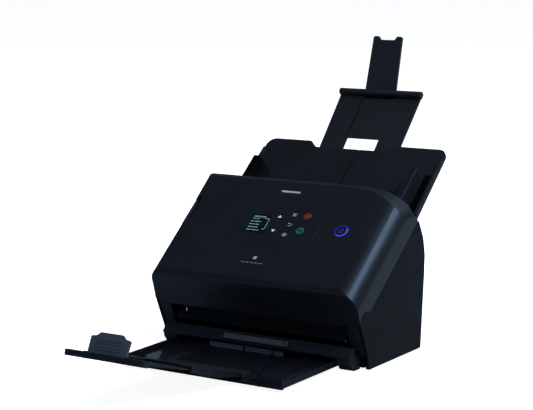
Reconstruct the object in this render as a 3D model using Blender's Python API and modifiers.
"""Sheet fed document scanner, desktop A4 class, with its trays open.

World axes: +X to the right of a person facing the machine, -Y to the front, +Z up.
Every size below is in millimetres and is turned into metres by MM.
"""
import math

import bmesh
import bpy
from mathutils import Matrix, Vector

MM = 0.001

# ---- driving dimensions (millimetres, degrees) ----
BODY_SHIFT_Y = 0.465        # moves the whole model so that its box is centred on Y
HALF_WIDTH = 145.5          # outer faces of the side covers
GAP = 0.3                   # between pieces that meet
SHEET_ANGLE = 39.0          # slope of the paper path, the face and the feed tray
FACE_N = 94.6               # height of the cover's face above the origin, across the path
COVER_WALL = 2.6
EDGE_RADIUS = 24.0          # rounding between the face and the right side of the cover
PATH_N = 44.0               # height of the sheet across the path

COVER_PIVOT = (-8.0, 58.0)  # Y, Z of the cover's hinge
EAR_RADIUS = 13.0
PIN_RADIUS = 3.0

EXTENSION_PIVOT = (286.4, 28.5)   # feed extension pivot in path coordinates
EXTENSION_TILT = 9.0              # feed extension, above the tray's slope
FLAP_AXIS = (114.0, 2.8)          # flap hinge, along and above the extension
FLAP_TILT = 25.7                  # flap at rest, above the extension's slope

DECK_FOOT = (-24.0, 18.6)         # Y, Z of the lower edge of the deck's slope
DECK_SLOPE = 46.0

EXIT_PIVOT = (-126.0, 10.2)       # Y, Z of the exit extension's pivot
EXIT_TILT = 16.5
STOPPER_AXIS = (-177.6, 2.9)      # along and above the exit extension
STOPPER_LEAN = 79.6

COLOURS = {
    "shell": ((0.012, 0.014, 0.016), 0.42, 0.0),
    "shell_side": ((0.014, 0.017, 0.020), 0.40, 0.0),
    "inner": ((0.009, 0.010, 0.011), 0.55, 0.0),
    "tray": ((0.016, 0.019, 0.021), 0.48, 0.0),
    "stopper": ((0.085, 0.105, 0.120), 0.50, 0.0),
    "bar": ((0.060, 0.075, 0.085), 0.48, 0.0),
    "display": ((0.004, 0.012, 0.014), 0.10, 0.0),
    "key": ((0.018, 0.020, 0.022), 0.38, 0.0),
    "stop_key": ((0.40, 0.03, 0.02), 0.40, 0.0),
    "start_key": ((0.02, 0.30, 0.18), 0.40, 0.0),
    "light": ((0.05, 0.06, 0.75), 0.30, 0.0),
    "rubber": ((0.020, 0.020, 0.020), 0.85, 0.0),
    "roller": ((0.120, 0.125, 0.130), 0.75, 0.0),
    "steel": ((0.55, 0.56, 0.57), 0.28, 1.0),
    "gear": ((0.60, 0.59, 0.55), 0.45, 0.0),
    "motor": ((0.40, 0.41, 0.42), 0.35, 1.0),
    "board": ((0.02, 0.12, 0.06), 0.50, 0.0),
    "glass": ((0.25, 0.30, 0.32), 0.05, 0.0),
    "sensor": ((0.020, 0.020, 0.022), 0.50, 0.0),
    "socket": ((0.010, 0.010, 0.010), 0.40, 0.0),
}

# ---- scene and frames ----


def clear_scene():
    for item in list(bpy.data.objects):
        bpy.data.objects.remove(item, do_unlink=True)


def new_collection(name):
    group = bpy.data.collections.new(name)
    bpy.context.scene.collection.children.link(group)
    return group


clear_scene()
PARTS = new_collection("document_scanner")
CUTTERS = new_collection("cutters")


def frame(name, parent, y, z, angle):
    """An empty at (y, z) of its parent, turned about X by angle degrees."""
    empty = bpy.data.objects.new(name, None)
    PARTS.objects.link(empty)
    empty.parent = parent
    empty.location = (0.0, y * MM, z * MM)
    empty.rotation_euler = (math.radians(angle), 0.0, 0.0)
    return empty


WORLD = frame("model_frame", None, BODY_SHIFT_Y, 0.0, 0.0)
PATH = frame("path_frame", WORLD, 0.0, 0.0, SHEET_ANGLE)
EXTENSION = frame("extension_frame", PATH, *EXTENSION_PIVOT, EXTENSION_TILT)
FLAP = frame("flap_frame", EXTENSION, *FLAP_AXIS, FLAP_TILT)
DECK = frame("deck_frame", WORLD, *DECK_FOOT, DECK_SLOPE)
EXIT = frame("exit_frame", WORLD, *EXIT_PIVOT, -EXIT_TILT)
STOPPER = frame("stopper_frame", EXIT, *STOPPER_AXIS, STOPPER_LEAN)


def material(key):
    found = bpy.data.materials.get(key)
    if found:
        return found
    colour, roughness, metallic = COLOURS[key]
    made = bpy.data.materials.new(key)
    made.use_nodes = True
    shader = made.node_tree.nodes["Principled BSDF"]
    shader.inputs["Base Color"].default_value = (*colour, 1.0)
    shader.inputs["Roughness"].default_value = roughness
    shader.inputs["Metallic"].default_value = metallic
    return made


# ---- shapes ----


def add_object(name, mesh, parent, group=None):
    made = bpy.data.objects.new(name, mesh)
    (group or PARTS).objects.link(made)
    made.parent = parent
    return made


def finish(target, key, smooth=False):
    """Gives a part its material, and smooth shading where it is round."""
    target.data.materials.clear()
    target.data.materials.append(material(key))
    if smooth:
        target.data.shade_smooth()
        target.data.set_sharp_from_angle(angle=math.radians(35))
    return target


def box(name, low, high, parent, bevel=0.0, group=None):
    """A block between two corners, with all its edges rounded by bevel."""
    work = bmesh.new()
    bmesh.ops.create_cube(work, size=1.0)
    size = [(b - a) * MM for a, b in zip(low, high)]
    centre = [(a + b) * 0.5 * MM for a, b in zip(low, high)]
    bmesh.ops.scale(work, vec=size, verts=work.verts)
    bmesh.ops.translate(work, vec=centre, verts=work.verts)
    if bevel:
        bmesh.ops.bevel(work, geom=work.edges[:], offset=bevel * MM, segments=2,
                        affect="EDGES", profile=0.5)
    mesh = bpy.data.meshes.new(name)
    work.to_mesh(mesh)
    work.free()
    return add_object(name, mesh, parent, group)


def rod(name, radius, start, end, parent, axis="X", sides=24, group=None):
    """A cylinder from start to end, along one axis of its frame."""
    turn = {"X": Matrix.Rotation(math.radians(90), 4, "Y"),
            "Y": Matrix.Rotation(math.radians(-90), 4, "X"),
            "Z": Matrix.Identity(4)}[axis]
    length = (Vector(end) - Vector(start)).length * MM
    centre = (Vector(start) + Vector(end)) * 0.5 * MM
    work = bmesh.new()
    bmesh.ops.create_cone(work, cap_ends=True, segments=sides, radius1=radius * MM,
                          radius2=radius * MM, depth=length,
                          matrix=Matrix.Translation(centre) @ turn)
    mesh = bpy.data.meshes.new(name)
    work.to_mesh(mesh)
    work.free()
    return add_object(name, mesh, parent, group)


def rounded(corners, steps=4):
    """Turns (u, v, radius) corners into points, with an arc at each rounded corner."""
    points = []
    count = len(corners)
    for index, (u, v, radius) in enumerate(corners):
        here = Vector((u, v))
        if radius <= 0.0:
            points.append(here)
            continue
        before = (Vector(corners[index - 1][:2]) - here).normalized()
        after = (Vector(corners[(index + 1) % count][:2]) - here).normalized()
        half = before.angle(after) * 0.5
        reach = radius / math.tan(half)
        centre = here + (before + after).normalized() * (radius / math.sin(half))
        first = here + before * reach - centre
        last = here + after * reach - centre
        sweep = first.angle_signed(last)
        for step in range(steps + 1):
            turned = first.copy()
            turned.rotate(Matrix.Rotation(-sweep * step / steps, 2))
            points.append(centre + turned)
    return points


def arc(centre, radius, first, last, steps=8):
    """Points of an arc, as unrounded corners, between two angles in degrees."""
    turns = [math.radians(first + (last - first) * step / steps) for step in range(steps + 1)]
    return [(centre[0] + radius * math.cos(a), centre[1] + radius * math.sin(a), 0.0)
            for a in turns]


def outline_mesh(name, loops, thickness):
    """A flat outline in local XY, filled and given a thickness along local Z."""
    curve = bpy.data.curves.new(name, "CURVE")
    curve.dimensions = "2D"
    curve.fill_mode = "BOTH"
    curve.extrude = thickness * 0.5 * MM
    for loop in loops:
        spline = curve.splines.new("POLY")
        spline.points.add(len(loop) - 1)
        for point, (u, v) in zip(spline.points, loop):
            point.co = (u * MM, v * MM, 0.0, 1.0)
        spline.use_cyclic_u = True
    holder = bpy.data.objects.new(name + "_curve", curve)
    bpy.context.scene.collection.objects.link(holder)
    bpy.context.view_layer.update()
    ready = holder.evaluated_get(bpy.context.evaluated_depsgraph_get())
    mesh = bpy.data.meshes.new_from_object(ready)
    bpy.data.objects.remove(holder, do_unlink=True)
    work = bmesh.new()
    work.from_mesh(mesh)
    bmesh.ops.remove_doubles(work, verts=work.verts, dist=0.00001)
    bmesh.ops.dissolve_limit(work, angle_limit=0.0005, verts=work.verts, edges=work.edges)
    bmesh.ops.recalc_face_normals(work, faces=work.faces)
    work.to_mesh(mesh)
    work.free()
    mesh.name = name
    return mesh


def profile(name, corners, x_low, x_high, parent, steps=4, group=None, holes=()):
    """A (y, z) side outline, extruded along X between two planes."""
    loops = [rounded(corners, steps)] + [rounded(hole, steps) for hole in holes]
    mesh = outline_mesh(name, loops, x_high - x_low)
    stand = Matrix.Translation(((x_low + x_high) * 0.5 * MM, 0.0, 0.0))
    stand = stand @ Matrix(((0, 0, 1, 0), (1, 0, 0, 0), (0, 1, 0, 0), (0, 0, 0, 1)))
    mesh.transform(stand)
    return add_object(name, mesh, parent, group)


def plan(name, corners, low, high, parent, steps=4, group=None, holes=()):
    """An (x, y) outline, extruded along local Z between two heights."""
    loops = [rounded(corners, steps)] + [rounded(hole, steps) for hole in holes]
    mesh = outline_mesh(name, loops, high - low)
    mesh.transform(Matrix.Translation((0.0, 0.0, (low + high) * 0.5 * MM)))
    return add_object(name, mesh, parent, group)


def boolean(target, tool, operation, solver="EXACT"):
    step = target.modifiers.new(tool.name, "BOOLEAN")
    step.operation = operation
    step.object = tool
    step.solver = solver
    return step


def cut(target, *tools):
    """Takes each tool away from the target; tools are kept as hidden cutters."""
    for tool in tools:
        boolean(target, tool, "DIFFERENCE")
        hide(tool)
    return target


def join(target, *tools):
    """Adds each tool to the target as one body."""
    for tool in tools:
        boolean(target, tool, "UNION")
        hide(tool)
    return target


def hide(tool):
    for group in list(tool.users_collection):
        group.objects.unlink(tool)
    CUTTERS.objects.link(tool)
    tool.hide_render = True
    tool.display_type = "WIRE"


def bevel(target, width, segments=2, angle=40.0):
    step = target.modifiers.new("edge_rounding", "BEVEL")
    step.width = width * MM
    step.segments = segments
    step.limit_method = "ANGLE"
    step.angle_limit = math.radians(angle)
    return step


def mirrored(points):
    """A closed outline from its right half, given from bottom to top."""
    return points + [(-x, y, r) for x, y, r in reversed(points)]


def section(name, corners, low, high, parent, steps=8):
    """An (x, z) front outline, extruded along local Y between two places."""
    mesh = outline_mesh(name, [rounded(corners, steps)], high - low)
    stand = Matrix(((1, 0, 0, 0), (0, 0, -1, 0), (0, 1, 0, 0), (0, 0, 0, 1)))
    mesh.transform(Matrix.Translation((0.0, (low + high) * 0.5 * MM, 0.0)) @ stand)
    return add_object(name, mesh, parent)


def loft(name, rings, parent):
    """A solid through closed rings of points that have the same number of points."""
    work = bmesh.new()
    layers = [[work.verts.new(Vector(point) * MM) for point in ring] for ring in rings]
    count = len(layers[0])
    for near, far in zip(layers, layers[1:]):
        for i in range(count):
            j = (i + 1) % count
            work.faces.new((near[i], near[j], far[j], far[i]))
    work.faces.new(layers[0])
    work.faces.new(layers[-1])
    bmesh.ops.recalc_face_normals(work, faces=work.faces)
    mesh = bpy.data.meshes.new(name)
    work.to_mesh(mesh)
    work.free()
    return add_object(name, mesh, parent)


def on_plane(y, n):
    """Z of the point at y on the plane a height n above the origin, parallel to the path."""
    slope = math.radians(SHEET_ANGLE)
    return (n + y * math.sin(slope)) / math.cos(slope)


# ---- base ----


def make_base_pan():
    pan = box("base_pan", (-138, 0, 2.3), (138, 119, 17), WORLD)
    hollow = box("base_pan_hollow", (-135.5, 2.5, 4.6), (135.5, 116.5, 30), WORLD)
    mouth = box("base_pan_mouth", (-122, -5, 4.6), (122, 10, 30), WORLD)
    return finish(cut(pan, hollow, mouth), "inner")


def make_feet():
    for number, (x, y) in enumerate(((-118, 14), (118, 14), (-118, 106), (118, 106)), 1):
        name = "rubber_foot_%d" % number
        foot = rod(name, 8.0, (x, y, 0), (x, y, 2.0), WORLD, axis="Z", sides=20)
        finish(foot, "rubber", smooth=True)


def make_base_front():
    """The sloping deck below the exit slot, on a leg at each end."""
    deck = profile("base_front", [(-24.0, 16.2, 0.5), (*DECK_FOOT, 0.8), (-14.5, 28.4, 1.5),
                                  (-11.8, 27.4, 0.0), (-11.8, 16.2, 0.0)], -133, 133, WORLD)
    for side in (-1, 1):
        ends = sorted((side * 114.0, side * 132.8))
        leg = profile("base_front_leg_%d" % side,
                      [(-23.0, 17.0, 0.0), (-22.5, 12.0, 3.0), (-14.5, 0.9, 3.0),
                       (-0.6, 0.9, 1.0), (-0.6, 17.0, 0.0)], *ends, WORLD)
        join(deck, leg)
    return finish(deck, "shell")


def make_deck_bar():
    bar = box("deck_bar", (-44.0, 1.0, 0.3), (47.0, 8.6, 2.3), DECK, bevel=0.6)
    holes = [rod("deck_bar_hole_%d" % x, 1.3, (x, 4.8, -3), (x, 4.8, 6), DECK, axis="Z", sides=12)
             for x in (-39, 42)]
    return finish(cut(bar, *holes), "bar")


SEAM = [(116.0, 158.6, 3.0), (56.0, 111.0, 60.0)]
REAR = [(130.0, 88.0, 30.0), (131.8, 114.0, 30.0), (128.0, 134.5, 25.0)]
SIDE_ANGLES = (52.0, 180.0)     # the ear's arc, from the seam round to the front


def side_outline():
    """Side cover: seam on top, round ear at the cover's pivot, straight sloping front."""
    ear = arc(COVER_PIVOT, EAR_RADIUS, *SIDE_ANGLES)
    front = [(-4.5, 19.0, 4.0), (-2.0, 1.4, 1.5)]
    rear = [(121.2, 1.4, 1.5)] + REAR
    return ear + front + rear + SEAM


def make_side_covers():
    for side, label in ((-1, "left"), (1, "right")):
        ends = sorted((side * 141.5, side * HALF_WIDTH))
        cover = profile("side_cover_" + label, side_outline(), ends[0], ends[1], WORLD)
        socket = rod("side_cover_socket_" + label, PIN_RADIUS + GAP,
                     (side * 130, *COVER_PIVOT), (side * 143.8, *COVER_PIVOT), WORLD)
        cut(cover, socket)
        finish(cover, "shell_side")


def make_hinge_posts():
    for side, label in ((-1, "left"), (1, "right")):
        ends = sorted((side * 125.0, side * 141.2))
        ear = arc(COVER_PIVOT, EAR_RADIUS - 0.2, -10.0, 180.0, 12)
        outline = ear + [(-4.6, 20.0, 0.0), (-4.6, 17.7, 0.0), (8.0, 22.4, 0.0)]
        post = profile("hinge_post_" + label, outline, ends[0], ends[1], WORLD)
        hole = rod("hinge_post_hole_" + label, PIN_RADIUS + GAP,
                   (side * 120, *COVER_PIVOT), (side * 146, *COVER_PIVOT), WORLD)
        cut(post, hole)
        finish(post, "shell")
        pin = rod("cover_pin_" + label, PIN_RADIUS, (side * 114.0, *COVER_PIVOT),
                  (side * 143.5, *COVER_PIVOT), WORLD)
        finish(pin, "steel", smooth=True)


def make_rear_cover():
    """Bent sheet behind the machine, open for the power and data sockets."""
    outer = [(121.4, 1.4, 1.0), (129.8, 88.0, 30.0), (131.5, 114.0, 30.0), (127.7, 134.5, 25.0),
             (121.2, 147.0, 0.0)]
    inner = [(118.9, 145.6, 0.0), (125.1, 133.5, 25.0), (128.8, 113.8, 30.0), (127.1, 88.2, 30.0),
             (119.4, 1.4, 0.0)]
    cover = profile("rear_cover", outer + inner, -141.2, 141.2, WORLD)
    openings = [box("rear_cover_inlet", (-112.4, 110, 29.6), (-97.6, 140, 42.4), WORLD),
                box("rear_cover_data", (-82.4, 110, 29.6), (-67.6, 140, 42.4), WORLD)]
    vents = [box("rear_cover_vent_%d" % row, (30, 110, 60 + 7 * row), (110, 150, 62.5 + 7 * row),
                 WORLD) for row in range(6)]
    return finish(cut(cover, *openings, *vents), "shell_side")


def make_sockets():
    for name, x in (("power_inlet", -105.0), ("data_socket", -75.0)):
        body = box(name, (x - 7.0, 108, 30.0), (x + 7.0, 125.4, 42.0), WORLD)
        mouth = box(name + "_mouth", (x - 4.5, 117, 33.0), (x + 4.5, 130, 39.0), WORLD)
        finish(cut(body, mouth), "socket")


def make_main_board():
    board = box("main_board", (-128, 104.4, 26), (-20, 106.0, 92), WORLD)
    chips = [box("main_board_chip_%d" % i, (x, 101.4, z), (x + w, 104.9, z + w), WORLD)
             for i, (x, z, w) in enumerate(((-100, 58, 20), (-66, 64, 14), (-44, 40, 12)))]
    return finish(join(board, *chips), "board")


# ---- lower paper guide with its rollers and drive ----

ROLLERS = {
    # name: (t, n of the axis, tyre radius, tyre half lengths, tyre centres, above the path)
    "feed_roller": (138.0, 33.7, 10.0, 15.0, (-24.0, 24.0)),
    "retard_roller": (138.0, 52.6, 8.0, 15.0, (-24.0, 24.0)),
    "drive_roller": (118.0, 37.7, 6.0, 12.0, (-72.0, 72.0)),
    "pinch_roller": (118.0, 49.4, 4.8, 12.0, (-72.0, 72.0)),
    "exit_roller": (60.0, 37.7, 6.0, 12.0, (-72.0, 72.0)),
    "exit_pinch_roller": (60.0, 49.4, 4.8, 12.0, (-72.0, 72.0)),
}
SHAFT_RADIUS = 2.5
LOWER_WALL = (119.0, 121.5)
UPPER_WALL = (116.0, 118.5)
GEAR_TEETH = 24
GEAR_RADIUS = 14.5
GEAR_PLANE = (126.0, 131.0)
MOTOR_TEETH = 12


def roller_windows(prefix, names, low, high):
    """One window in a guide plate for each tyre."""
    windows = []
    for name in names:
        t, n, radius, half, centres = ROLLERS[name]
        for number, centre in enumerate(centres):
            windows.append(box("%s_%s_%d" % (prefix, name, number),
                               (centre - half - 1.5, t - radius - 1.2, low),
                               (centre + half + 1.5, t + radius + 1.2, high), PATH))
    return windows


def make_lower_frame():
    ribbon = profile("lower_frame", [(12, 35.8, 0), (48, 43, 20), (157, 43, 0), (157, 40.5, 0),
                                     (48, 40.5, 20), (12, 33.3, 0)], -119.6, 119.6, PATH)
    walls = []
    for side in (-1, 1):
        ends = sorted((side * LOWER_WALL[0], side * LOWER_WALL[1]))
        wall = profile("lower_frame_wall_%d" % side,
                       [(46, 43, 0), (157, 43, 0), (157, 22, 6), (46, 22, 6)],
                       ends[0], ends[1], PATH)
        walls.append(wall)
    idler_t = (ROLLERS["exit_roller"][0] + ROLLERS["drive_roller"][0]) * 0.5
    axle = rod("lower_frame_idler_axle", 3.0, (120.0, idler_t, ROLLERS["exit_roller"][1]),
               (132.5, idler_t, ROLLERS["exit_roller"][1]), PATH, sides=20)
    join(ribbon, *walls, axle)
    slot = box("lower_frame_sensor_slot", (-112, 92.6, 30), (112, 109.4, 50), PATH)
    holes = [rod("lower_frame_hole_" + name, SHAFT_RADIUS + GAP, (-130, *ROLLERS[name][:2]),
                 (130, *ROLLERS[name][:2]), PATH)
             for name in ("feed_roller", "drive_roller", "exit_roller")]
    windows = roller_windows("lower_frame", ("feed_roller", "drive_roller", "exit_roller"), 30, 50)
    return finish(cut(ribbon, slot, *windows, *holes), "inner")


def make_upper_frame():
    ribbon = profile("upper_frame", [(52, 45.8, 0), (157, 45.8, 0), (163, 50, 0), (163, 52.5, 0),
                                     (156, 48.2, 0), (52, 48.2, 0)], -116.4, 116.4, PATH)
    pivot = (COVER_PIVOT[0] * math.cos(math.radians(SHEET_ANGLE))
             + COVER_PIVOT[1] * math.sin(math.radians(SHEET_ANGLE)),
             -COVER_PIVOT[0] * math.sin(math.radians(SHEET_ANGLE))
             + COVER_PIVOT[1] * math.cos(math.radians(SHEET_ANGLE)))
    walls = []
    holes = []
    for side in (-1, 1):
        ends = sorted((side * UPPER_WALL[0], side * UPPER_WALL[1]))
        lug = arc(pivot, 6.5, 90.0, 290.0, 8)
        wall = profile("upper_frame_wall_%d" % side,
                       lug + [(52, 45.8, 0), (157, 45.8, 0), (157, 74, 10), (60, 74, 10)],
                       ends[0], ends[1], PATH)
        walls.append(wall)
    holes.append(rod("upper_frame_pin_hole", PIN_RADIUS + GAP, (-130, *pivot), (130, *pivot), PATH))
    join(ribbon, *walls)
    holes += [rod("upper_frame_hole_" + name, SHAFT_RADIUS + GAP, (-130, *ROLLERS[name][:2]),
                  (130, *ROLLERS[name][:2]), PATH)
              for name in ("retard_roller", "pinch_roller", "exit_pinch_roller")]
    slot = box("upper_frame_sensor_slot", (-112, 70.6, 40), (112, 87.4, 60), PATH)
    windows = roller_windows("upper_frame", ("retard_roller", "pinch_roller",
                                             "exit_pinch_roller"), 40, 60)
    return finish(cut(ribbon, slot, *windows, *holes), "inner")


def make_rollers():
    """Each roller is a steel shaft with two tyres on it, as one turning piece."""
    for name, (t, n, radius, half, centres) in ROLLERS.items():
        reach = 134.0 if name in ("drive_roller", "exit_roller") else 123.0
        if n > PATH_N:
            reach = 120.5
        shaft = rod(name, SHAFT_RADIUS, (-min(reach, 123.0), t, n), (reach, t, n), PATH, sides=20)
        tyres = [rod("%s_tyre_%d" % (name, number), radius, (centre - half, t, n),
                     (centre + half, t, n), PATH, sides=28)
                 for number, centre in enumerate(centres)]
        finish(join(shaft, *tyres), "roller", smooth=True)


def gear_points(teeth, radius, phase, tall=1.0):
    """A spur gear's outline: trapezoid teeth with backlash, centred on phase degrees."""
    module = 2.0 * radius / teeth
    pitch = 360.0 / teeth
    outline = []
    steps = ((-0.30, -1.15), (-0.11, 0.80 * tall), (0.11, 0.80 * tall), (0.30, -1.15))
    for tooth in range(teeth):
        for offset, height in steps:
            angle = math.radians(phase + (tooth + offset) * pitch)
            reach = radius + height * module
            outline.append((reach * math.cos(angle), reach * math.sin(angle), 0.0))
    return outline


def make_gear(name, teeth, radius, t, n, phase, bore):
    outline = [(t + u, n + v, 0.0) for u, v, _ in gear_points(teeth, radius, phase)]
    hole = arc((t, n), bore, 0.0, 345.0, 23)
    gear = profile(name, outline, *GEAR_PLANE, PATH, holes=(hole,))
    return finish(gear, "gear")


def make_drive():
    """Motor, motor gear, idler and the gears on the drive and exit rollers."""
    exit_t, axis_n = ROLLERS["exit_roller"][:2]
    drive_t = ROLLERS["drive_roller"][0]
    idler_t = (exit_t + drive_t) * 0.5
    half_tooth = 180.0 / GEAR_TEETH
    make_gear("exit_gear", GEAR_TEETH, GEAR_RADIUS, exit_t, axis_n, 0.0, SHAFT_RADIUS + GAP)
    make_gear("idler_gear", GEAR_TEETH, GEAR_RADIUS, idler_t, axis_n, half_tooth, 3.3)
    make_gear("drive_gear", GEAR_TEETH, GEAR_RADIUS, drive_t, axis_n, 0.0, SHAFT_RADIUS + GAP)
    motor_radius = GEAR_RADIUS * MOTOR_TEETH / GEAR_TEETH
    motor_n = axis_n - GEAR_RADIUS - motor_radius
    outline = [(idler_t + u, motor_n + v, 0.0)
               for u, v, _ in gear_points(MOTOR_TEETH, motor_radius, 90.0)]
    motor_gear = profile("motor_gear", outline, *GEAR_PLANE, PATH)
    stub = rod("motor_gear_shaft", 2.0, (118.0, idler_t, motor_n), (127, idler_t, motor_n), PATH)
    finish(join(motor_gear, stub), "gear")
    motor = rod("drive_motor", 15.0, (80.0, idler_t, motor_n), (117.6, idler_t, motor_n), PATH)
    finish(motor, "motor", smooth=True)


def make_sensors():
    """Two contact image sensor bars, each with a scan glass facing the sheet."""
    for name, t, low, high, glass in (("lower_sensor", 101.0, 30.2, 41.4, (41.7, 43.2)),
                                      ("upper_sensor", 79.0, 47.4, 59.0, (45.6, 47.1))):
        unit = box(name, (-111.5, t - 8.0, low), (111.5, t + 8.0, high), PATH, bevel=0.5)
        finish(unit, "sensor")
        pane = box(name.split("_")[0] + "_scan_glass", (-111.0, t - 7.5, glass[0]),
                   (111.0, t + 7.5, glass[1]), PATH)
        finish(pane, "glass")


# ---- front cover with its panel ----

FACE_TOP_T = 196.1                      # the face's top edge, along the path
PANEL = (-64.0, 54.0, 46.0, 109.0)      # x low, x high, distances down the face
PANEL_N = (FACE_N - 1.8, FACE_N - 0.05)
KEYS = {
    # name: (x, distance down the face, radius, colour)
    "up_key": (-6.5, 59.0, 4.3, "key"),
    "down_key": (-5.6, 81.5, 4.3, "key"),
    "menu_key": (12.2, 54.0, 4.6, "key"),
    "back_key": (12.6, 70.0, 4.6, "key"),
    "ok_key": (12.6, 86.0, 4.6, "key"),
    "stop_key": (30.0, 54.0, 5.0, "stop_key"),
    "start_key": (31.0, 77.6, 5.6, "start_key"),
}
KEY_N = (FACE_N - 3.2, FACE_N - 0.02)
DISPLAY = (-45.6, -16.4, 58.6, 87.4)
POWER = (85.5, 71.4)
LEVER = (40.0, 82.0)
LEFT_EDGE = ((-90.0, 16.0), (110.0, 13.0), (198.0, 8.0), (270.0, 8.0))   # t, radius
CROWN = (60.0, 158.0, 85.5, 37.4)       # centre and half sizes of the oval, X and Z
CROWN_POWER = 0.88


def shoulder_rings(inset):
    """Front outlines of the cover along the path; its left edge tightens towards the top."""
    half, top, right = HALF_WIDTH - inset, FACE_N - inset, EDGE_RADIUS - inset
    rings = []
    for t, radius in LEFT_EDGE:
        outline = rounded([(-half, 0, 0), (half, 0, 0), (half, top, right),
                           (-half, top, radius - inset)], 8)
        rings.append([(x, t, n) for x, n in outline])
    return rings


def crown_outline(inset):
    """Front outline of the cover's top, falling to the right in a long oval curve."""
    x_mid, z_mid, x_reach, z_reach = CROWN
    points = [(-150.0, -20.0, 0.0), (150.0, -20.0, 0.0), (150.0, z_mid, 0.0)]
    for step in range(1, 12):
        turn = math.radians(90.0 * step / 12)
        points.append((x_mid + (x_reach - inset) * math.cos(turn) ** CROWN_POWER,
                       z_mid + (z_reach - inset) * math.sin(turn) ** CROWN_POWER, 0.0))
    return points + [(x_mid, z_mid + z_reach - inset, 0.0),
                     (-150.0, z_mid + z_reach - inset, 0.0)]


def cover_section(name, inset):
    """Solid of the cover: its side outline, met by its round-shouldered front outline."""
    front, top = -32.4 + inset, FACE_N - inset
    side = [(-24.0 + inset, 69.0, 18.0), (front, on_plane(front, top), 9.0 - inset),
            (92.9, on_plane(92.9, top), 6.0 - inset), (107.5 - inset, 195.4 - inset, 3.0 - inset),
            (104.5 - inset, 171.0, 0.0)]
    if inset:
        side += [(104.5 - inset, 100.0, 0.0), (60.0, 20.0, 0.0), (-17.7, 20.0, 0.0)]
    else:
        side += [(115.6, 156.0, 0.0), (100.0, 120.0, 0.0), (30.0, 41.0, 0.0), (-20.3, 53.0, 0.0)]
    solid = profile(name, side, -150.0, 150.0, WORLD, steps=6)
    shoulders = loft(name + "_shoulders", shoulder_rings(inset), PATH)
    crown = section(name + "_crown", crown_outline(inset), -90, 150, WORLD)
    for limit in (shoulders, crown):
        boolean(solid, limit, "INTERSECT")
        hide(limit)
    return solid


def make_front_cover():
    """One shell: sloping face, rolled crease and top, big round edges along both sides."""
    cover = cover_section("front_cover", 0.0)
    hollow = cover_section("front_cover_hollow", COVER_WALL)
    ear = arc(COVER_PIVOT, EAR_RADIUS + GAP, *reversed(SIDE_ANGLES))
    seam = [(y - 0.2, z + GAP, r) for y, z, r in reversed(SEAM)]
    under = []
    for side in (-1, 1):
        ends = sorted((side * 124.2, side * 160.0))
        corner = ear + seam + [(150, 156, 0), (150, 20, 0), (-60, 20, 0), (-60, 58.0, 0)]
        under.append(profile("front_cover_under_%d" % side, corner, *ends, WORLD))
    throat = box("front_cover_throat", (-139.2, 98, 100), (139.2, 130, 170.6), WORLD)
    x_low, x_high, top, bottom = PANEL
    window = box("front_cover_panel_window", (x_low - GAP, FACE_TOP_T - bottom - GAP, 85),
                 (x_high + GAP, FACE_TOP_T - top + GAP, 105), PATH)
    power = rod("front_cover_power_hole", 9.4, (POWER[0], FACE_TOP_T - POWER[1], 80),
                (POWER[0], FACE_TOP_T - POWER[1], 105), PATH, axis="Z", sides=32)
    recess = box("front_cover_lever_recess", (-160, FACE_TOP_T - LEVER[1], 76),
                 (-131.5, FACE_TOP_T - LEVER[0], 110), PATH)
    cut(cover, hollow, *under, throat, window, power, recess)
    return finish(cover, "shell")


def make_panel():
    """Operation panel, flush in the face, with the display and the keys set in it."""
    x_low, x_high, top, bottom = PANEL
    plate = box("panel_plate", (x_low, FACE_TOP_T - bottom, PANEL_N[0]),
                (x_high, FACE_TOP_T - top, PANEL_N[1]), PATH)
    d_low, d_high, d_top, d_bottom = DISPLAY
    opening = box("panel_display_opening", (d_low - GAP, FACE_TOP_T - d_bottom - GAP, 80),
                  (d_high + GAP, FACE_TOP_T - d_top + GAP, 110), PATH)
    cut(plate, opening)
    for name, (x, down, radius, colour) in KEYS.items():
        place = (x, FACE_TOP_T - down)
        hole = rod("panel_hole_" + name, radius + GAP, (*place, 80), (*place, 110), PATH,
                   axis="Z", sides=24)
        cut(plate, hole)
        key = rod(name, radius, (*place, KEY_N[0]), (*place, KEY_N[1]), PATH, axis="Z", sides=24)
        bevel(key, 0.4, 1)
        finish(key, colour)
    finish(plate, "shell")
    display = box("display_window", (d_low, FACE_TOP_T - d_bottom, PANEL_N[0] + 0.2),
                  (d_high, FACE_TOP_T - d_top, PANEL_N[1] - 0.1), PATH)
    finish(display, "display")


def make_power_key():
    place = (POWER[0], FACE_TOP_T - POWER[1])
    ring = rod("power_ring", 9.1, (*place, FACE_N - 2.6), (*place, FACE_N + 0.3), PATH,
               axis="Z", sides=32)
    bore = rod("power_ring_bore", 6.9, (*place, 80), (*place, 110), PATH, axis="Z", sides=32)
    finish(cut(ring, bore), "light")
    key = rod("power_key", 6.6, (*place, FACE_N - 2.6), (*place, FACE_N + 0.5), PATH,
              axis="Z", sides=32)
    bevel(key, 0.4, 1)
    finish(key, "key")


def make_lever():
    """Cover opening lever: a flat paddle in the recess of the left edge."""
    low, high = FACE_TOP_T - LEVER[1] + 1.0, FACE_TOP_T - LEVER[0] - 1.0
    lever = section("open_lever", [(-144.8, 80.4, 1.0), (-134.6, 80.4, 1.0), (-134.6, 82.8, 0.8),
                                   (-139.2, 91.8, 2.0), (-143.0, 90.8, 3.0)], low, high, PATH, 3)
    return finish(lever, "inner")


# ---- feed tray, document guides and the upper extension ----

TRAY_N = (41.5, 46.0)
TRAY_BOTTOM_T = 160.0
TRAY_TOP_T = 309.0
NOTCH_T = 299.0
RACK_N = (35.5, 39.0)
RACKS = {"left": 168.0, "right": 180.0}     # t of each rack's middle
PINION_T = 174.0
PINION_TEETH = 12
PINION_RADIUS = 4.0
RACK_TAIL = 8.0          # a rack runs this far past the pinion at rest


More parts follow.
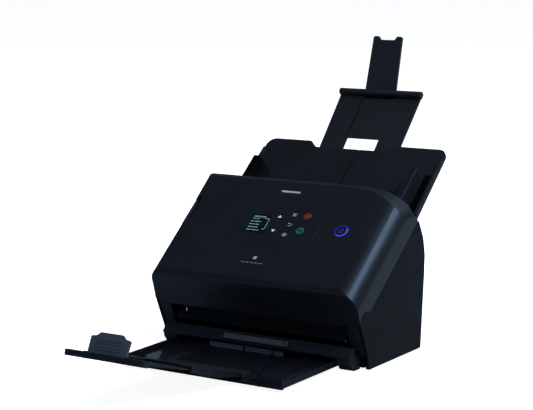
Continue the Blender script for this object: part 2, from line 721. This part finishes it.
def make_feed_tray():
    right = [(118.0, TRAY_BOTTOM_T, 0.0), (137.6, 196.0, 3.0), (134.2, TRAY_TOP_T, 12.0),
             (64.0, TRAY_TOP_T, 2.0), (53.0, NOTCH_T, 2.0)]
    left = [(-53.0, NOTCH_T, 2.0), (-64.0, TRAY_TOP_T, 2.0), (-128.5, TRAY_TOP_T, 12.0),
            (-128.5, 196.0, 3.0), (-118.0, TRAY_BOTTOM_T, 0.0)]
    tray = plan("feed_tray", right + left, *TRAY_N, PATH, steps=5)
    rims = [plan("feed_tray_rim_right", [(133.8, 200.0, 0.0), (137.2, 200.0, 0.0),
                                         (134.4, 292.0, 0.0), (131.4, 286.0, 0.0)],
                 45.0, 49.0, PATH),
            plan("feed_tray_rim_left", [(-128.1, 200.0, 0.0), (-124.8, 200.0, 0.0),
                                        (-124.8, 286.0, 0.0), (-128.1, 292.0, 0.0)],
                 45.0, 49.0, PATH)]
    pocket = box("feed_tray_pocket", (-67, 190, 23.8), (67, NOTCH_T - 0.2, 42.5), PATH)
    join(tray, *rims, pocket)
    hollow = box("feed_tray_hollow", (-64.8, 191.8, 25.6), (64.8, 320, TRAY_N[0]), PATH)
    groove = box("feed_tray_groove", (11.0, 198, 45.2), (12.2, 320, 50), PATH)
    slots = [box("feed_tray_slot_left", (-119, RACKS["left"] - 1.8, 30),
                 (-13, RACKS["left"] + 1.8, 50), PATH),
             box("feed_tray_slot_right", (13, RACKS["right"] - 1.8, 30),
                 (119, RACKS["right"] + 1.8, 50), PATH)]
    return finish(cut(tray, hollow, groove, *slots), "tray")


def side_box(name, side, x_ends, y_ends, z_ends, parent, bevel_width=0.0):
    """A block on one side of the machine; x_ends are distances from the middle."""
    low, high = sorted((side * x_ends[0], side * x_ends[1]))
    return box(name, (low, y_ends[0], z_ends[0]), (high, y_ends[1], z_ends[1]), parent,
               bevel_width)


def rack_outline(label, start, end):
    """Outline of a rack from start to end along X, its teeth facing the pinion."""
    toward = 1.0 if label == "left" else -1.0
    pitch = 2.0 * math.pi * PINION_RADIUS / PINION_TEETH
    module = pitch / math.pi
    line = PINION_T - toward * PINION_RADIUS
    root, tip = line - toward * 1.05 * module, line + toward * 0.75 * module
    points = [(start, RACKS[label] - toward * 2.0, 0.0), (start, root, 0.0)]
    for index in range(math.ceil(start / pitch), math.floor(end / pitch)):
        middle = (index + 0.5) * pitch
        points += [(middle - 0.31 * pitch, root, 0.0), (middle - 0.11 * pitch, tip, 0.0),
                   (middle + 0.11 * pitch, tip, 0.0), (middle + 0.31 * pitch, root, 0.0)]
    return points + [(end, root, 0.0), (end, RACKS[label] - toward * 2.0, 0.0)]


def make_guides():
    """Each guide is a thick flared fence on a sole, with a stem through its slot to a rack."""
    for side, label in ((-1, "left"), (1, "right")):
        flare = [(side * 120.0, 46.3, 0), (side * 99.5, 46.3, 0), (side * 106.0, 55.0, 14),
                 (side * 110.0, 66.0, 1.0), (side * 120.0, 66.0, 1.5)]
        fence = section("guide_" + label, flare[::side], 172, 262, PATH, 4)
        length = profile("guide_length_" + label, [(172, 46, 0), (252.5, 46, 0), (259, 67, 0),
                                                   (182, 67, 0), (172, 56, 3)],
                         -130, 130, PATH, steps=3)
        boolean(fence, length, "INTERSECT")
        hide(length)
        sole = side_box("guide_sole_" + label, side, (92.0, 112.0), (165.0, 232.0), (46.3, 47.8),
                        PATH)
        stem = side_box("guide_stem_" + label, side, (98.0, 108.0),
                        (RACKS[label] - 1.2, RACKS[label] + 1.2), (36.0, 47.2), PATH)
        start, end = sorted((side * 106.5, -side * RACK_TAIL))
        rack = plan("guide_rack_" + label, rack_outline(label, start, end), *RACK_N, PATH)
        join(fence, sole, stem)
        boolean(fence, rack, "UNION", solver="MANIFOLD")
        hide(rack)
        finish(fence, "tray")


def make_pinion():
    outline = [(u, PINION_T + v, 0.0) for u, v, _ in
               gear_points(PINION_TEETH, PINION_RADIUS, 90.0, 0.9)]
    finish(plan("guide_pinion", outline, RACK_N[0] - 0.4, RACK_N[1] + 0.4, PATH), "gear")


SLIDER_HALF = 60.0


def make_feed_slider():
    """Carriage in the tray's pocket that carries the extension's pivot."""
    t, n = EXTENSION_PIVOT
    slider = box("feed_slider", (-SLIDER_HALF, t - 7.6, n - 2.2), (SLIDER_HALF, t - 3.0, n + 2.2),
                 PATH)
    for side in (-1, 1):
        ear = side_box("feed_slider_ear_%d" % side, side, (57.0, SLIDER_HALF), (t - 7.0, t + 2.6),
                       (n - 2.6, n + 2.6), PATH)
        stub = rod("feed_slider_stub_%d" % side, 1.1, (side * 47.0, t, n), (side * 58.0, t, n),
                   PATH, sides=16)
        join(slider, ear, stub)
    return finish(slider, "inner")


def make_feed_extension():
    """Sheet support with a window, knuckles at its foot and a split bar at its head."""
    axis_d, axis_h = FLAP_AXIS
    half = [(56.0, 0.4, 0.0), (56.0, 4.5, 0.0), (57.8, 7.0, 0.0), (59.6, axis_d + 1.0, 0.0),
            (23.4, axis_d + 1.0, 0.0), (23.4, axis_d - 4.6, 0.0)]
    window = [(-23.5, 23.4, 1.0), (23.5, 23.4, 1.0), (23.5, 43.0, 1.0), (-23.5, 43.0, 1.0)]
    plate = plan("feed_extension", mirrored(half), -1.8, 0.8, EXTENSION, holes=(window,))
    holes = [rod("feed_extension_pin_hole", 1.6, (-35.0, *FLAP_AXIS), (35.0, *FLAP_AXIS),
                 EXTENSION, sides=16)]
    for side in (-1, 1):
        ends = sorted((side * 23.4, side * 60.5))
        bar = profile("feed_extension_bar_%d" % side,
                      [(axis_d - 4.4, axis_h - 4.5, 1.0), (axis_d + 4.2, axis_h - 4.4, 3.0),
                       (axis_d + 4.2, axis_h + 4.0, 3.6), (axis_d - 4.0, axis_h + 4.0, 3.6)],
                      *ends, EXTENSION)
        knuckle = rod("feed_extension_knuckle_%d" % side, 2.3, (side * 45.0, 0, 0),
                      (side * 56.0, 0, 0), EXTENSION, sides=16)
        join(plate, bar, knuckle)
        holes.append(rod("feed_extension_foot_hole_%d" % side, 1.4, (side * 44.0, 0, 0),
                         (side * 60.0, 0, 0), EXTENSION, sides=16))
    web = box("feed_extension_web", (-24.0, axis_d - 6.0, -1.8), (24.0, axis_d + 1.0, -1.2),
              EXTENSION)
    join(plate, web)
    groove = box("feed_extension_groove", (-24.6, 43.6, 0.3), (-23.8, axis_d - 5.0, 2.0), EXTENSION)
    cut(plate, *holes, groove)
    return finish(plate, "tray")


def make_flap():
    """Flip-up end support: a flat plate on a barrel, with a finger notch in its top."""
    half = [(22.7, 0.0, 0.0), (21.2, 75.0, 2.6), (13.6, 75.0, 2.2), (10.4, 70.2, 3.0)]
    flap = plan("feed_flap", mirrored(half), -1.6, 1.6, FLAP, steps=5)
    barrel = rod("feed_flap_barrel", 3.7, (-22.8, 0, 0), (22.8, 0, 0), FLAP, sides=20)
    bore = rod("feed_flap_bore", 1.6, (-30, 0, 0), (30, 0, 0), FLAP, sides=16)
    cut(join(flap, barrel), bore)
    finish(flap, "tray")
    pin = rod("flap_pin", 1.3, (-34, 0, 0), (34, 0, 0), FLAP, sides=16)
    finish(pin, "steel", smooth=True)


# ---- exit tray and the lower extension ----

EXIT_TRAY_HALF = 113.4
EXIT_TRAY_Y = (-135.0, 12.0)
RAIL_LOW = -4.6             # lowest edge of the extension's bowed side rails


def make_exit_tray():
    front, back = EXIT_TRAY_Y
    tray = box("exit_tray", (-EXIT_TRAY_HALF, front + 0.4, 5.6), (EXIT_TRAY_HALF, back, 7.4), WORLD)
    pieces = [box("exit_tray_lip", (-112.0, front, 4.4), (112.0, front + 3.0, 7.0), WORLD),
              box("exit_tray_back", (-66.0, -20.0, 7.0), (41.0, -18.5, 13.4), WORLD)]
    pieces += [box("exit_tray_fin_%d" % x, (x - 0.7, -31.0, 7.0), (x + 0.7, -28.0, 15.2), WORLD)
               for x in (-9, 31)]
    slots = []
    for side in (-1, 1):
        wall = side_box("exit_tray_wall_%d" % side, side, (EXIT_TRAY_HALF - 2.4, EXIT_TRAY_HALF),
                        (front + 1.0, back), (6.0, 13.0), WORLD)
        gate = side_box("exit_tray_gate_%d" % side, side, (82.0, EXIT_TRAY_HALF),
                        (front, front + 3.2), (4.6, 16.4), WORLD)
        post = side_box("exit_tray_post_%d" % side, side, (80.8, 84.0), (front - 0.6, front + 4.4),
                        (4.4, 22.6), WORLD)
        ridge = section("exit_tray_ridge_%d" % side,
                        [(side * 62.0, 7.0, 0), (side * 104.0, 7.0, 0), (side * 98.0, 9.6, 2),
                         (side * 66.0, 9.6, 2)][::side], front + 8.0, back - 12.0, WORLD, 3)
        pieces += [wall, gate, post, ridge]
        slots.append(side_box("exit_tray_slot_%d" % side, side, (49.8, 53.4),
                              (front - 1.0, -40.0), (EXIT_PIVOT[1] + RAIL_LOW - GAP, 9.0), WORLD))
    return finish(cut(join(tray, *pieces), *slots), "tray")


def make_exit_slider():
    y, z = EXIT_PIVOT
    slider = box("exit_slider", (-56.8, y + 8.0, 7.8), (56.8, y + 13.5, 12.2), WORLD)
    for side in (-1, 1):
        ear = side_box("exit_slider_ear_%d" % side, side, (53.8, 56.8), (y - 3.6, y + 13.0),
                       (7.9, 13.2), WORLD)
        stub = rod("exit_slider_stub_%d" % side, 1.2, (side * 50.8, y, z), (side * 55.0, y, z),
                   WORLD, sides=16)
        join(slider, ear, stub)
    return finish(slider, "inner")


def make_exit_extension():
    """First stage with side rails and a notch for the folded stopper; second stage inside it."""
    inner = box("exit_extension_inner", (-53.0, -97.0, 2.0), (53.0, 1.8, 4.2), EXIT)
    for side in (-1, 1):
        ends = sorted((side * 50.2, side * 52.7))
        rail = profile("exit_extension_rail_%d" % side,
                       [(1.4, 2.4, 0), (1.4, -1.8, 0), (-10.0, -1.8, 80), (-40.0, RAIL_LOW, 200),
                        (-70.0, RAIL_LOW, 200), (-96.5, -2.6, 0), (-96.5, 2.4, 0)], *ends, EXIT,
                       steps=3)
        knuckle = rod("exit_extension_knuckle_%d" % side, 2.7, (side * 50.4, 0, 0),
                      (side * 52.5, 0, 0), EXIT, sides=16)
        join(inner, rail, knuckle)
    hole = rod("exit_extension_hole", 1.5, (-60, 0, 0), (60, 0, 0), EXIT, sides=16)
    notch = box("exit_extension_notch", (-27.2, -100.0, 1.7), (27.2, -77.2, 6.0), EXIT)
    finish(cut(inner, hole, notch), "tray")
    outer = box("exit_extension_outer", (-49.8, -176.0, -0.8), (49.8, -74.0, 1.6), EXIT)
    head = box("exit_extension_head", (-53.0, -183.4, -2.8), (53.0, -173.4, 4.2), EXIT, bevel=1.0)
    y, z = STOPPER_AXIS
    ears = [side_box("exit_extension_ear_%d" % side, side, (26.0, 29.7), (y - 2.4, y + 2.4),
                     (0.0, z + 2.2), EXIT) for side in (-1, 1)]
    recess = box("exit_extension_recess", (-26.6, y - 2.6, 0.6), (26.6, y + 28, 9), EXIT)
    bore = rod("exit_extension_bore", 1.3, (-28.6, y, z), (28.6, y, z), EXIT, sides=16)
    cut(join(outer, head, *ears), recess, bore)
    finish(outer, "tray")


def make_stopper():
    """Sheet stop: shouldered plate with ribs across its front, on a barrel with end pins."""
    half = [(26.0, 0.0, 0.0), (26.4, 19.4, 2.0), (19.0, 20.4, 2.5), (14.6, 24.2, 1.5)]
    stopper = plan("stopper", mirrored(half), -1.3, 1.3, STOPPER, steps=4)
    barrel = rod("stopper_barrel", 1.8, (-26.3, 0, 0), (26.3, 0, 0), STOPPER, sides=16)
    pins = rod("stopper_pins", 1.0, (-28.2, 0, 0), (28.2, 0, 0), STOPPER, sides=12)
    ribs = [box("stopper_rib_%d" % row, (-17.0, 5.4 + 3.4 * row, 1.0), (17.0, 6.6 + 3.4 * row, 1.9),
                STOPPER) for row in range(4)]
    return finish(join(stopper, barrel, pins, *ribs), "stopper")


def build():
    make_base_pan()
    make_feet()
    make_base_front()
    make_deck_bar()
    make_side_covers()
    make_hinge_posts()
    make_rear_cover()
    make_sockets()
    make_main_board()
    make_lower_frame()
    make_upper_frame()
    make_rollers()
    make_drive()
    make_sensors()
    make_front_cover()
    make_panel()
    make_power_key()
    make_lever()
    make_feed_tray()
    make_guides()
    make_pinion()
    make_feed_slider()
    make_feed_extension()
    make_flap()
    make_exit_tray()
    make_exit_slider()
    make_exit_extension()
    make_stopper()


build()
